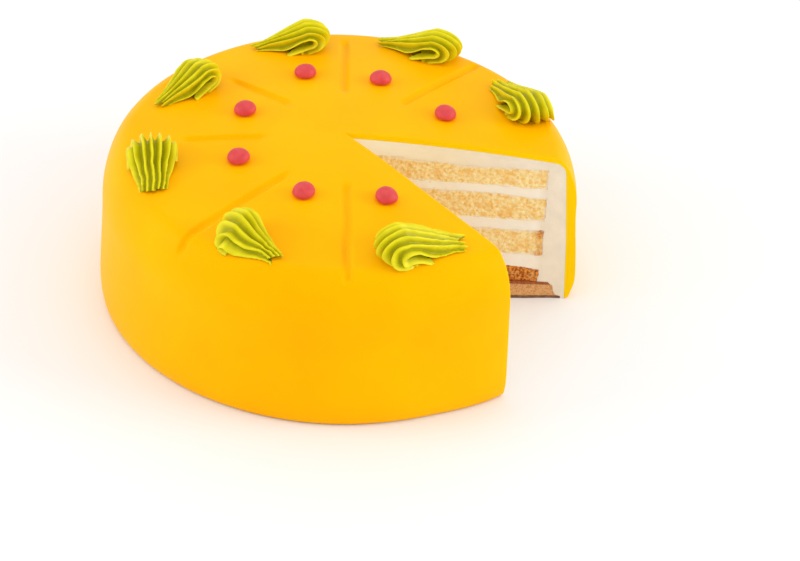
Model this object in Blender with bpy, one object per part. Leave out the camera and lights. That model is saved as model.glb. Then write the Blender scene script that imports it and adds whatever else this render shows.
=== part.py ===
"""Passion fruit torte with one of its eight portions taken out.

Four sponge layers lie in pale cream on a jam-spread biscuit base with a chocolate
underside. A smooth yellow cover lies over the cream, marked with impressed lines,
and carries piped shells and sugar drops, one of each to a portion.
Metres, +Z up, with the origin on the torte's axis at the foot.
"""

import math

import bmesh
import bpy
from mathutils import Matrix

# Sizes of the whole torte
RADIUS = 0.1317
SIDE_RADIUS = 0.1306
BELLY_RADIUS = 0.1318
BELLY_HEIGHT = 0.0130
FOOT_RADIUS = 0.1292
HEIGHT = 0.1003
DOME_DROP = 0.0099
DOME_POWER = 1.8
EDGE_REACH = 0.0154
EDGE_FALL = 0.0298
COVER_THICKNESS = 0.0035
COVER_CLEARANCE = 0.0006
LEAN = 0.0115
GAP = 0.0003

# Sizes of the cream under the cover
CREAM_EDGE_RADIUS = 0.0070
CREAM_SHOULDER = 0.1229
CREAM_WAIST_RADIUS = 0.1259
CREAM_WAIST_HEIGHT = 0.039
CREAM_FOOT_RADIUS = 0.1274

# The portion that is taken out, between two cuts that meet beside the axis
APEX = (0.0012, 0.0010)
FIRST_CUT = math.radians(-1.0)
LAST_CUT = math.radians(314.7)

# How finely the curves are divided
COVER_STEPS = 50
FILLING_STEPS = 34
COVER_DOME_RINGS = 6
COVER_EDGE_POINTS = 6
COVER_FOOT_POINTS = 2
CREAM_DOME_RINGS = 5
CREAM_EDGE_POINTS = 4
BISCUIT_CORNER_POINTS = 3

# Layers from the floor up
COAT_THICKNESS = 0.0015
BISCUIT_THICKNESS = 0.0070
JAM_THICKNESS = 0.0009
COAT_RADIUS = 0.1255
BISCUIT_FOOT_RADIUS = 0.1240
BISCUIT_TOP_RADIUS = 0.1200
BISCUIT_CORNER = 0.0020
JAM_RADIUS = 0.1165
FILM_CORNER = 0.0003
SPONGE_RADIUS = 0.1135
SPONGE_CORNER = 0.0012
# Thickness of each sponge and of the cream above it
SPONGES = {
    "sponge_4": (0.0093, 0.0086),
    "sponge_3": (0.0154, 0.0074),
    "sponge_2": (0.0138, 0.0070),
    "sponge_1": (0.0118, 0.0),
}

# Impressed lines: azimuth in degrees and outer end of each
GROOVES = ((49.1, 0.106), (92.1, 0.110), (138.2, 0.093), (185.7, 0.090), (233.0, 0.115), (274.3, 0.115))
GROOVE_START = 0.046
GROOVE_HALF_WIDTH = 0.0015
GROOVE_DEPTH = 0.0012

# Toppings: azimuth in degrees and distance from the axis of each. A shell also has its turn from
# the rim's direction in degrees, shares of the length, width and tail width described below, how
# far its outer side droops and the share of its hooked ends that shows.
SHELLS = (
    (25.8, 0.1072, 1.9, 1.05, 1.12, 1.15, 0.0, 1.0),
    (68.2, 0.1076, 6.0, 1.03, 1.08, 0.55, 0.0, 1.0),
    (108.8, 0.1038, -8.8, 0.93, 1.05, 0.60, 0.0, 1.0),
    (153.3, 0.0999, -15.3, 0.90, 1.01, 0.75, 0.0, 1.0),
    (198.7, 0.1066, -11.3, 0.90, 1.08, 1.10, 0.0, 1.0),
    (246.3, 0.1090, -12.3, 0.82, 1.02, 0.85, 0.0060, 0.2),
    (294.8, 0.1066, 6.0, 1.08, 1.01, 1.25, 0.0, 1.0),
)
DROPS = ((24.8, 0.0605), (72.9, 0.0613), (111.2, 0.0668), (160.1, 0.0587), (206.6, 0.0620), (252.1, 0.0608),
         (293.5, 0.0637))
DROP_RADIUS = 0.0061
DROP_HALF_HEIGHT = 0.0039
DROP_LIFT = 0.0022

# Piped shell: ribs that rise from a tail, arch over the heel round a pivot and hook back underneath.
# Lengths along and heights are measured from the shell's own origin on the cover.
PIVOT = (-0.0090, 0.0070)
ROPE_DEPTH = 0.0087
ROPE_HALF_WIDTH = 0.0125
HOLLOW_DEPTH = 0.0015
HEEL_STRETCH = 1.65
TAIL_END = (0.0215, 0.0004)
TAIL_DEPTH = 0.0026
TAIL_HALF_WIDTH = 0.0066
DROOP_FROM = 0.0040
DROOP_OVER = 0.0180

# Its ribs: crests on each side of the middle one, and how deep and wide the valleys are
SIDE_RIBS = 3
SIDE_SHARE = 3.32
RIB_DEPTH = 0.0030
TAIL_RIB_DEPTH = 0.0013
TAIL_RIBS_FROM = 0.2
CREST_SHARPNESS = 0.45

# Its hooked ends: the share of the length and the extra slope of each crest's end, middle one first
LEG_SLOPE = math.radians(20.0)
LEG_LENGTH = 0.0225
LEG_DEPTH = 0.0064
LEG_HALF_WIDTH = 0.0116
LEG_ENDS = (0.04, 0.08, 0.25, 0.60)
LEG_STEEPER = (0.50, 0.45, 0.25, 0.0)
LEG_SCALLOP = 0.10
SHORTEST_LEG = 0.03
SPREAD_FROM = math.radians(165.0)
SPREAD_OVER = math.radians(75.0)
FOOT_FLARE = 0.10
LEG_ROWS = 3
CURL_ROWS = 9
TAIL_ROWS = 6


def smooth_step(value):
    """Rises from 0 to 1 with level ends."""
    share = min(1.0, max(0.0, value))
    return share * share * (3.0 - 2.0 * share)


def arc(centre, reach, fall, count):
    """Points of a quarter ellipse from its top to its outer side, without the top point."""
    angles = [0.5 * math.pi * (i + 1) / count for i in range(count)]
    return [(centre[0] + reach * math.sin(a), centre[1] + fall * math.cos(a)) for a in angles]


def dome_height(radius, drop_below=0.0):
    """Height of the domed top, or of a surface that runs below it."""
    return HEIGHT - drop_below - DOME_DROP * (radius / RADIUS) ** DOME_POWER


def cover_profile(grow=0.0):
    """Outer surface of the cover as (r, z) from the axis to the foot, moved out by grow."""
    flat_end = SIDE_RADIUS - EDGE_REACH
    radii = [flat_end * i / COVER_DOME_RINGS for i in range(COVER_DOME_RINGS + 1)]
    profile = [(r, dome_height(r) + grow) for r in radii]
    for i in range(COVER_EDGE_POINTS):
        angle = 0.5 * math.pi * (i + 1) / COVER_EDGE_POINTS
        radius = flat_end + EDGE_REACH * math.sin(angle)
        height = dome_height(radius) - EDGE_FALL * (1.0 - math.cos(angle))
        profile.append((radius + grow * math.sin(angle), height + grow * math.cos(angle)))
    profile.append((BELLY_RADIUS + grow, BELLY_HEIGHT))
    for i in range(COVER_FOOT_POINTS):
        angle = 0.5 * math.pi * (i + 1) / COVER_FOOT_POINTS
        radius = BELLY_RADIUS - (BELLY_RADIUS - FOOT_RADIUS) * (1.0 - math.cos(angle))
        height = BELLY_HEIGHT - (BELLY_HEIGHT - COVER_CLEARANCE) * math.sin(angle)
        profile.append((radius + grow, height))
    return profile


def cream_profile(grow=0.0):
    """Outer surface of the cream as (r, z) from the axis to the foot, moved out by grow."""
    flat_end = CREAM_SHOULDER - CREAM_EDGE_RADIUS
    depth = COVER_THICKNESS + GAP
    radii = [flat_end * i / CREAM_DOME_RINGS for i in range(CREAM_DOME_RINGS + 1)]
    dome = [(r, dome_height(r, depth) + grow) for r in radii]
    side_top = dome[-1][1] - grow - CREAM_EDGE_RADIUS
    edge_size = CREAM_EDGE_RADIUS + grow
    edge = arc((flat_end, side_top), edge_size, edge_size, CREAM_EDGE_POINTS)
    return dome + edge + [(CREAM_WAIST_RADIUS + grow, CREAM_WAIST_HEIGHT)]


def layer_levels():
    """Floor and top height of every layer by node name, from the floor up."""
    levels = {"chocolate_coat": (0.0, COAT_THICKNESS)}
    floor = COAT_THICKNESS + GAP
    levels["biscuit_base"] = (floor, floor + BISCUIT_THICKNESS)
    floor += BISCUIT_THICKNESS + GAP
    levels["jam_layer"] = (floor, floor + JAM_THICKNESS)
    floor += JAM_THICKNESS + GAP
    for name, (thickness, cream_above) in SPONGES.items():
        levels[name] = (floor, floor + thickness)
        floor += thickness + cream_above
    return levels


def settled(point):
    """Moves circles near the middle towards the apex of the cuts and leans the top to +X."""
    share = 1.0 - math.hypot(point.x, point.y) / RADIUS
    point.x += share * APEX[0]
    point.y += share * APEX[1]
    point.z *= 1.0 + LEAN * point.x / RADIUS
    return point


def make_material(name, colour, roughness):
    """Principled material with the linear colour and roughness of one food."""
    material = bpy.data.materials.new(name)
    material.use_nodes = True
    shader = material.node_tree.nodes["Principled BSDF"]
    shader.inputs["Base Color"].default_value = (*colour, 1.0)
    shader.inputs["Roughness"].default_value = roughness
    shader.inputs["Metallic"].default_value = 0.0
    return material


def make_object(name, mesh_data, material, collection):
    """Turns a bmesh into a named, smooth-shaded object of the torte."""
    bmesh.ops.recalc_face_normals(mesh_data, faces=mesh_data.faces)
    mesh = bpy.data.meshes.new(name)
    mesh_data.to_mesh(mesh)
    mesh_data.free()
    if material:
        mesh.materials.append(material)
    mesh.shade_smooth()
    mesh.set_sharp_from_angle(angle=math.radians(35.0))
    piece = bpy.data.objects.new(name, mesh)
    collection.objects.link(piece)
    return piece


def turned_mesh(section, steps):
    """Spins a closed (r, z) section round the axis from one cut to the other."""
    mesh_data = bmesh.new()
    corners = [mesh_data.verts.new((r, 0.0, z)) for r, z in section]
    mesh_data.faces.new(corners)
    bmesh.ops.rotate(mesh_data, verts=mesh_data.verts, matrix=Matrix.Rotation(FIRST_CUT, 3, "Z"))
    geometry = mesh_data.verts[:] + mesh_data.edges[:] + mesh_data.faces[:]
    bmesh.ops.spin(mesh_data, geom=geometry, cent=(0.0, 0.0, 0.0), axis=(0.0, 0.0, 1.0),
                   angle=LAST_CUT - FIRST_CUT, steps=steps)
    bmesh.ops.remove_doubles(mesh_data, verts=mesh_data.verts, dist=0.00001)
    for vertex in mesh_data.verts:
        vertex.co = settled(vertex.co)
    return mesh_data


def slab_section(levels, radius, corner):
    """Section of a flat layer with its outer corners taken off."""
    floor, top = levels
    return [(0.0, floor), (radius - corner, floor), (radius, floor + corner), (radius, top - corner),
            (radius - corner, top), (0.0, top)]


def biscuit_section(levels):
    """Section of the biscuit base, whose side slopes out to its foot."""
    floor, top = levels
    shoulder = BISCUIT_TOP_RADIUS - BISCUIT_CORNER
    corner = arc((shoulder, top - BISCUIT_CORNER), BISCUIT_CORNER, BISCUIT_CORNER, BISCUIT_CORNER_POINTS)
    return [(0.0, top), (shoulder, top)] + corner + [(BISCUIT_FOOT_RADIUS, floor), (0.0, floor)]


def cream_section(levels):
    """Comb-like section of the cream: a domed cap, an outer wall and a tooth between sponges."""
    section = cream_profile() + [(CREAM_FOOT_RADIUS, 0.0), (COAT_RADIUS + GAP, 0.0)]
    coat_top = levels["chocolate_coat"][1]
    biscuit_floor, biscuit_top = levels["biscuit_base"]
    jam_top = levels["jam_layer"][1]
    section += [(COAT_RADIUS + GAP, coat_top), (BISCUIT_FOOT_RADIUS + GAP, biscuit_floor)]
    corner_top = biscuit_top + GAP
    shoulder = BISCUIT_TOP_RADIUS + GAP - BISCUIT_CORNER
    corner_centre = (shoulder, corner_top - BISCUIT_CORNER)
    corner = arc(corner_centre, BISCUIT_CORNER, BISCUIT_CORNER, BISCUIT_CORNER_POINTS)
    section += corner[::-1] + [(shoulder, corner_top)]
    section += [(JAM_RADIUS + GAP, corner_top), (JAM_RADIUS + GAP, jam_top + GAP)]
    wall = SPONGE_RADIUS + GAP
    for name in SPONGES:
        floor, top = levels[name]
        if name != "sponge_4":
            section += [(0.0, floor - GAP), (wall - SPONGE_CORNER, floor - GAP)]
            section += [(wall, floor - GAP + SPONGE_CORNER)]
        else:
            section += [(wall, jam_top + GAP)]
        section += [(wall, top + GAP - SPONGE_CORNER), (wall - SPONGE_CORNER, top + GAP), (0.0, top + GAP)]
    return section


def cover_section():
    """Section of the cover: its outer surface, its foot and its underside on the cream."""
    underside = cream_profile(GAP)
    foot = [(CREAM_FOOT_RADIUS + GAP, COVER_CLEARANCE)]
    return cover_profile() + foot + underside[::-1]


def groove_cutter(azimuth, outer_end, collection):
    """Long low spindle that lies along the dome, one impressed line deep."""
    mesh_data = bmesh.new()
    half_length = 0.5 * (outer_end - GROOVE_START)
    size = Matrix.Diagonal((half_length, GROOVE_HALF_WIDTH, GROOVE_DEPTH, 1.0))
    place = Matrix.Translation((GROOVE_START + half_length, 0.0, 0.0))
    upright = Matrix.Rotation(math.radians(90.0), 4, "Y")
    turn = Matrix.Rotation(math.radians(azimuth), 4, "Z")
    spindle = turn @ place @ size @ upright
    bmesh.ops.create_uvsphere(mesh_data, u_segments=8, v_segments=10, radius=1.0, matrix=spindle)
    for vertex in mesh_data.verts:
        vertex.co.z += dome_height(math.hypot(vertex.co.x, vertex.co.y))
        vertex.co = settled(vertex.co)
    return make_object("groove_cutter", mesh_data, None, collection)


def surface_height(x, y):
    """Height of the cover's outer surface over a point, before the top is leaned."""
    radius = min(math.hypot(x, y), SIDE_RADIUS)
    share = max(0.0, (radius - SIDE_RADIUS + EDGE_REACH) / EDGE_REACH)
    return dome_height(radius) - EDGE_FALL * (1.0 - math.sqrt(1.0 - share * share))


def rib_columns():
    """Turn round the rope and rib phase of each column of points; whole phases are crests.

    Crests and valleys lie evenly along the outline of the rope's upper half.
    """
    steps = 600
    way = [0.0]
    for i in range(steps):
        turn = 0.5 * math.pi * (i + 0.5) / steps
        way.append(way[-1] + math.hypot(ROPE_HALF_WIDTH * math.cos(turn), ROPE_DEPTH * math.sin(turn)))
    phases = [0.5 * i for i in range(2 * SIDE_RIBS + 1)] + [SIDE_SHARE]
    half = []
    for phase in phases:
        step = min(range(steps + 1), key=lambda i: abs(way[i] - way[-1] * phase / SIDE_SHARE))
        half.append((0.5 * math.pi * step / steps, phase))
    return [(-turn, -phase) for turn, phase in half[:0:-1]] + half


def rope_stages():
    """Angle of the rope's outward direction, its spread and its stage at each row of points.

    Stage runs from -1 at the laid start over 0 at the curl to 1 at the tail's end.
    """
    leg_from = math.radians(270.0) - LEG_SLOPE
    tail_from = math.atan2(TAIL_END[1] - PIVOT[1], TAIL_END[0] - PIVOT[0]) + 0.5 * math.pi
    stages = [(leg_from, 1.0, i / LEG_ROWS - 1.0) for i in range(LEG_ROWS)]
    for i in range(CURL_ROWS):
        angle = leg_from + (tail_from - leg_from) * i / CURL_ROWS
        stages.append((angle, smooth_step((angle - SPREAD_FROM) / SPREAD_OVER), 0.0))
    return stages + [(tail_from, 0.0, i / TAIL_ROWS) for i in range(TAIL_ROWS + 1)]


def between(first, last, share):
    """Number that lies at a share of the way from the first to the last."""
    return first + (last - first) * share


def leg_size(stage, phase, scallop, leg_share):
    """Origin, depth, half width and rib depth of the rope along one of its hooked ends."""
    low = min(SIDE_RIBS - 1, int(abs(phase)))
    part = min(1.0, abs(phase) - low)
    end = between(LEG_ENDS[low], LEG_ENDS[low + 1], part) * leg_share - LEG_SCALLOP * scallop
    steeper = between(LEG_STEEPER[low], LEG_STEEPER[low + 1], part)
    share = -stage * max(SHORTEST_LEG, end)
    run = LEG_LENGTH * share
    origin = (PIVOT[0] + run * math.cos(LEG_SLOPE), PIVOT[1] - run * (math.sin(LEG_SLOPE) + steeper))
    half_width = between(ROPE_HALF_WIDTH, LEG_HALF_WIDTH, smooth_step(share))
    return origin, between(ROPE_DEPTH, LEG_DEPTH, share), half_width, RIB_DEPTH


def tail_size(stage, tail_share):
    """Origin, depth, half width and rib depth of the rope from the curl to the tail's end."""
    origin = [between(PIVOT[i], TAIL_END[i], stage) for i in range(2)]
    half_width = between(ROPE_HALF_WIDTH, TAIL_HALF_WIDTH * tail_share, smooth_step(stage))
    rib_end = TAIL_RIB_DEPTH * min(1.0, between(0.3, 1.0, tail_share))
    rib = between(RIB_DEPTH, rib_end, smooth_step((stage - TAIL_RIBS_FROM) / (1.0 - TAIL_RIBS_FROM)))
    return origin, between(ROPE_DEPTH, TAIL_DEPTH, stage ** 0.9), half_width, rib


def rope_point(row, column, tail_share, leg_share):
    """Point of a shell that lies along +X with its tail ahead, on the plane z = 0."""
    angle, spread, stage = row
    turn, phase = column
    scallop = math.sin(math.pi * phase) ** 2
    valley = (1.0 + CREST_SHARPNESS) * scallop / (scallop + CREST_SHARPNESS)
    if stage < 0.0:
        origin, depth, half_width, rib = leg_size(stage, phase, scallop, leg_share)
    else:
        origin, depth, half_width, rib = tail_size(stage, tail_share)
    normal = (math.cos(turn) / depth * (1.0 - 0.8 * spread), math.sin(turn) / half_width)
    inset = rib * valley / math.hypot(*normal)
    level = abs(math.sin(turn))
    side = math.copysign(level ** (1.0 - 0.75 * spread * level), turn)
    side *= 1.0 + FOOT_FLARE * spread * math.cos(turn) * level
    hollow = HOLLOW_DEPTH * (1.0 - max(0.0, stage))
    up = hollow + max(0.0, (depth - hollow) * math.cos(turn) - inset * normal[0])
    across = half_width * side - inset * normal[1]
    along = origin[0] + up * math.cos(angle)
    if along < PIVOT[0]:
        along = PIVOT[0] + (along - PIVOT[0]) * HEEL_STRETCH
    return along, across, origin[1] + up * math.sin(angle)


def rope_mesh(length_share, width_share, tail_share, droop, leg_share):
    """Closed mesh of one shell, from rings round the rope and a fan over each end."""
    mesh_data = bmesh.new()
    columns = rib_columns()
    rings = []
    for row in rope_stages():
        ring = []
        for column in columns:
            x, y, z = rope_point(row, column, tail_share, leg_share)
            near = smooth_step(-y / ROPE_HALF_WIDTH) * (1.0 - smooth_step((x - DROOP_FROM) / DROOP_OVER))
            drop = droop * near * min(1.0, max(0.0, z) / PIVOT[1])
            ring.append(mesh_data.verts.new((x * length_share, y * width_share, z - drop)))
        rings.append(ring)
    for near_ring, far_ring in zip(rings, rings[1:]):
        for i in range(len(columns)):
            after = (i + 1) % len(columns)
            mesh_data.faces.new((near_ring[i], near_ring[after], far_ring[after], far_ring[i]))
    for ring in (rings[0], rings[-1]):
        middle = mesh_data.verts.new(sum((v.co for v in ring), ring[0].co * 0.0) / len(ring))
        for i in range(len(columns)):
            mesh_data.faces.new((ring[i], ring[(i + 1) % len(columns)], middle))
    return mesh_data


def drop_mesh():
    """Flattened ball of one sugar drop, with its lower part below the surface it sits on."""
    mesh_data = bmesh.new()
    size = Matrix.Diagonal((DROP_RADIUS, DROP_RADIUS, DROP_HALF_HEIGHT, 1.0))
    lift = Matrix.Translation((0.0, 0.0, DROP_LIFT))
    bmesh.ops.create_uvsphere(mesh_data, u_segments=12, v_segments=6, radius=1.0, matrix=lift @ size)
    return mesh_data


def place_on_top(mesh_data, azimuth, distance, heading=0.0):
    """Stands a topping on the dome, its +X along the rim and turned by heading, both counter-clockwise."""
    angle = math.radians(azimuth)
    turn = Matrix.Rotation(angle + 0.5 * math.pi + math.radians(heading), 4, "Z")
    move = Matrix.Translation((distance * math.cos(angle), distance * math.sin(angle), 0.0))
    bmesh.ops.transform(mesh_data, matrix=move @ turn, verts=mesh_data.verts)
    for vertex in mesh_data.verts:
        vertex.co.z += surface_height(vertex.co.x, vertex.co.y)
        vertex.co = settled(vertex.co)


def cut_with(piece, cutter):
    """Takes the cutter's shape out of the piece."""
    modifier = piece.modifiers.new("cut", "BOOLEAN")
    modifier.operation = "DIFFERENCE"
    modifier.solver = "EXACT"
    modifier.object = cutter


def build():
    """Makes every piece of the torte."""
    for old in list(bpy.data.objects):
        bpy.data.objects.remove(old, do_unlink=True)
    torte = bpy.data.collections.new("passion_fruit_torte")
    cutters = bpy.data.collections.new("cutters")
    bpy.context.scene.collection.children.link(torte)
    bpy.context.scene.collection.children.link(cutters)

    cover_yellow = make_material("cover_yellow", (0.95, 0.50, 0.01), 0.45)
    cream_white = make_material("cream_white", (0.86, 0.71, 0.46), 0.55)
    sponge_yellow = make_material("sponge_yellow", (0.86, 0.58, 0.22), 0.90)
    biscuit_brown = make_material("biscuit_brown", (0.56, 0.27, 0.09), 0.85)
    jam_brown = make_material("jam_brown", (0.18, 0.04, 0.01), 0.40)
    chocolate_brown = make_material("chocolate_brown", (0.10, 0.05, 0.04), 0.40)
    shell_green = make_material("shell_green", (0.62, 0.58, 0.03), 0.45)
    drop_red = make_material("drop_red", (0.80, 0.10, 0.09), 0.35)

    levels = layer_levels()
    coat = slab_section(levels["chocolate_coat"], COAT_RADIUS, FILM_CORNER)
    make_object("chocolate_coat", turned_mesh(coat, FILLING_STEPS), chocolate_brown, torte)
    biscuit = biscuit_section(levels["biscuit_base"])
    make_object("biscuit_base", turned_mesh(biscuit, FILLING_STEPS), biscuit_brown, torte)
    jam = slab_section(levels["jam_layer"], JAM_RADIUS, FILM_CORNER)
    make_object("jam_layer", turned_mesh(jam, FILLING_STEPS), jam_brown, torte)
    for name in SPONGES:
        sponge = slab_section(levels[name], SPONGE_RADIUS, SPONGE_CORNER)
        make_object(name, turned_mesh(sponge, FILLING_STEPS), sponge_yellow, torte)
    make_object("cream_filling", turned_mesh(cream_section(levels), FILLING_STEPS), cream_white, torte)
    cover = make_object("yellow_cover", turned_mesh(cover_section(), COVER_STEPS), cover_yellow, torte)
    for azimuth, outer_end in GROOVES:
        cut_with(cover, groove_cutter(azimuth, outer_end, cutters))

    seat_section = cover_profile(GAP) + [(0.0, COVER_CLEARANCE)]
    seat = make_object("topping_seat", turned_mesh(seat_section, COVER_STEPS), None, cutters)
    for number, (azimuth, distance, heading, *form) in enumerate(SHELLS, start=1):
        shell = rope_mesh(*form)
        place_on_top(shell, azimuth, distance, heading)
        cut_with(make_object(f"piped_shell_{number}", shell, shell_green, torte), seat)
    for number, (azimuth, distance) in enumerate(DROPS, start=1):
        drop = drop_mesh()
        place_on_top(drop, azimuth, distance)
        cut_with(make_object(f"sugar_drop_{number}", drop, drop_red, torte), seat)
    for cutter in cutters.objects:
        cutter.hide_render = True
        cutter.display_type = "WIRE"


build()
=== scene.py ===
"""Looks of the passion fruit torte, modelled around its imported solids.

Each layer is a section of points (distance from the axis, height) that is swept from the first
cut to the last. The toppings are nets of points that stand on the cover. Metres, +Z up.
"""

from math import atan2, cos, hypot, pi, radians, sin, sqrt
from types import SimpleNamespace

import bmesh
import bpy
import numpy as np
from mathutils import Matrix, Vector
from mathutils.geometry import delaunay_2d_cdt

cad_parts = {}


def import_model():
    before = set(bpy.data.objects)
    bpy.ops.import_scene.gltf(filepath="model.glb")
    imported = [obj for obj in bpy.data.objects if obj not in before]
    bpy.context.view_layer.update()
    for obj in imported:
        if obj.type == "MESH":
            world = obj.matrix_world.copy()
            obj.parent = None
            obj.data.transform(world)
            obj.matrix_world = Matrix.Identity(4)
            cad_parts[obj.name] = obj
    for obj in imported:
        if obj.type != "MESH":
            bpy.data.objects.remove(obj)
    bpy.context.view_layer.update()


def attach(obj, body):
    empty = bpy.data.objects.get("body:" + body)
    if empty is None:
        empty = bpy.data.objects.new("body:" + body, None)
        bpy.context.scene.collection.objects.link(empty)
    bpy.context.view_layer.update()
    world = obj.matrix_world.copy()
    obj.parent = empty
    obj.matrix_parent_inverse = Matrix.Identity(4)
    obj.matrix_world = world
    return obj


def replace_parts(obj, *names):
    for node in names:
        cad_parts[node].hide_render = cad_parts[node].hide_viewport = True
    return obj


# The camera that took the photo
CAMERA_AIM = (0.0356, 0.0, 0.0047)
CAMERA_DISTANCE = 1.9597
CAMERA_PITCH = radians(35.24)
CAMERA_ROLL = radians(3.12)
CAMERA_LENS = 157.5
CAMERA_SENSOR = 36.0

# Studio: half the floor's width, the surroundings' brightness, and each light's name, place,
# width and power
FLOOR_REACH = 6.0
SURROUNDINGS = 0.94
LIGHT_AIM = (0.0, 0.0, 0.05)
LIGHTS = (
    ("left", (-1.9, -0.2, 0.8), 1.0, 10.7),
    ("right", (1.9, -0.2, 0.8), 1.0, 14.2),
    ("above", (0.0, 0.0, 2.0), 0.8, 2.0),
)

# The torte and its cover, as the solids have them
RADIUS = 0.1317
SIDE_RADIUS = 0.1306
BELLY_RADIUS = 0.1318
BELLY_HEIGHT = 0.0130
FOOT_RADIUS = 0.1292
HEIGHT = 0.1003
DOME_DROP = 0.0099
DOME_POWER = 1.8
EDGE_REACH = 0.0154
EDGE_FALL = 0.0298
EDGE_START = SIDE_RADIUS - EDGE_REACH
COVER_THICKNESS = 0.0035
COVER_CLEARANCE = 0.0006
LEAN = 0.0115
GAP = 0.0003

# The cream and the layers in it, as the solids have them
CREAM_EDGE_RADIUS = 0.0070
CREAM_SHOULDER = 0.1229
CREAM_WAIST_RADIUS = 0.1259
CREAM_WAIST_HEIGHT = 0.039
CREAM_FOOT_RADIUS = 0.1274
COAT_RADIUS = 0.1255
BISCUIT_FOOT_RADIUS = 0.1240
SPONGE_RADIUS = 0.1135
# Thickness of each layer and of the gap or the cream above it
LAYERS = {
    "chocolate_coat": (0.0015, GAP),
    "biscuit_base": (0.0070, GAP),
    "jam_layer": (0.0009, GAP),
    "sponge_4": (0.0093, 0.0086),
    "sponge_3": (0.0154, 0.0074),
    "sponge_2": (0.0138, 0.0070),
    "sponge_1": (0.0118, 0.0),
}
SPONGES = list(LAYERS)[3:]

# The portion that is taken out, between two cuts that meet beside the axis
APEX = (0.0012, 0.0010)
FIRST_CUT = radians(-1.0)
LAST_CUT = radians(314.7)

# Beside the last cut the top sags, in full from SAG_REACH out and for SAG_BEYOND past the cut,
# and the side moves out by SPREAD
SAG = 0.0023
SAG_REACH = 0.08
SAG_ANGLE = radians(22.0)
SAG_BEYOND = radians(15.0)
SPREAD = 0.0040

# Beside the first cut the foot of the cover bulges, from one height down over a second and from
# a third one up over a fourth
FOOT_BULGE = 0.00145
FOOT_BULGE_ANGLE = radians(40.0)
FOOT_BULGE_HEIGHTS = (0.060, 0.048, 0.002, 0.012)

# Waves of the cover: height and size of the slow and the fine ones, and how far they are sunk
WAVE = 0.00022
WAVE_SIZE = 0.045
FINE_WAVE = 0.00006
FINE_WAVE_SIZE = 0.012
WAVE_SINK = 0.00012
# Rounding of the cover's cut edges, and its reach
CUT_ROUNDING = 0.00015
CUT_ROUNDING_REACH = 0.0012
# Heights above which the cover's outside is its top, is above its foot and is off the floor
TOP_FROM = 0.08
SIDE_FROM = 0.02
FOOT_FROM = 0.003
# Reach round the axis within which the cover's waves fade
AXIS_REACH = 0.004

# Rise of the second sponge's top and of the first one's floor and top over their plain levels:
# height in the middle, and the radius from which and over which it fades
LAYER_RISES = ((0.0021, 0.085, 0.025), (0.0009, 0.080, 0.030), (0.0038, 0.010, 0.060))

# The base: the biscuit's rounded shoulder, the jam's sloping end and the jut out of the first cut
BISCUIT_TOP_RADIUS = 0.1208
BISCUIT_CORNER = 0.0013
JAM_RADIUS = 0.1194
JAM_END = 0.0014
BASE_JUT = 0.0030

# End of sponge_4: how far its foot and upper edge are cut back, and the edge's fall and its reach
SPONGE_4_FOOT_IN = 0.0018
SPONGE_4_TOP_IN = 0.0008
SPONGE_4_FALL = 0.0017
SPONGE_4_FALL_REACH = 0.012

# How far past the sponges' solids their room in the cream reaches, and their own crumb
CRUMB_BORDER = 0.0006
INTO_CREAM = 0.0019

# Size and height of the cream's unevenness above and below a sponge, then at its end
LEVEL_UNEVEN = (0.0036, 0.0006)
END_UNEVEN = (0.0030, 0.0005)

# Pores on each cut face of a sponge: how many, their largest radius and their depth to a radius
PORES = 620
LARGEST_PORE = 0.0017
PORE_DEPTH = 0.35

# Radius from which and over which each sponge turns brown towards its end; sponge_4 turns orange-brown over
# its whole outer part
BROWNING = {
    "sponge_4": (0.074, 0.018),
    "sponge_3": (0.1065, 0.006),
    "sponge_2": (0.1125, 0.0015),
    "sponge_1": (0.1125, 0.0015),
}

# How finely the pieces are divided: points along the cover's dome, edge, side and foot, the
# cream's dome and edge and the biscuit's shoulder and flank, then rings from cut to cut, and
# steps along the sections and over the cut faces
COVER_POINTS = (56, 28, 23, 10)
CREAM_POINTS = (24, 8)
BISCUIT_POINTS = (5, 8)
COVER_RINGS = 250
FILLING_RINGS = 44
BASE_RINGS = 90
FILLING_STEP = 0.0009
BASE_STEP = 0.0010
COVER_CUT_STEP = 0.0011
CREAM_CUT_STEP = 0.0010
SPONGE_CUT_STEP = 0.00055
BASE_CUT_STEP = 0.0006

# Further rings of the cover, in degrees: reach beside an impressed line and spacing there, places
# beside each cut, and the least spacing
LINE_RINGS = (3.6, 0.34)
CUT_RINGS = (0.15, 0.35, 0.6, 0.9)
LEAST_STEP = 0.12

# Impressed lines, with the surface rolled out flat: azimuth in degrees and way from the axis, at
# the inner and the outer end
GROOVES = (
    (49.2, 0.0465, 51.5, 0.118),
    (92.0, 0.0440, 92.0, 0.109),
    (136.2, 0.0430, 138.9, 0.088),
    (186.0, 0.0430, 184.2, 0.088),
    (234.0, 0.0480, 230.0, 0.132),
    (274.0, 0.0470, 274.0, 0.126),
)
GROOVE_DEPTH = 0.0018
# Half widths from the middle to a line's rise, and over which it rises
GROOVE_HALF_WIDTH = 0.0020
GROOVE_LEVEL = 0.20
GROOVE_RISE = 1.55
# How far a line runs past its ends, and how long its sloping ends are
GROOVE_PAST_END = 0.001
GROOVE_INNER_RUN = 0.004
GROOVE_OUTER_RUN = 0.006

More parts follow.
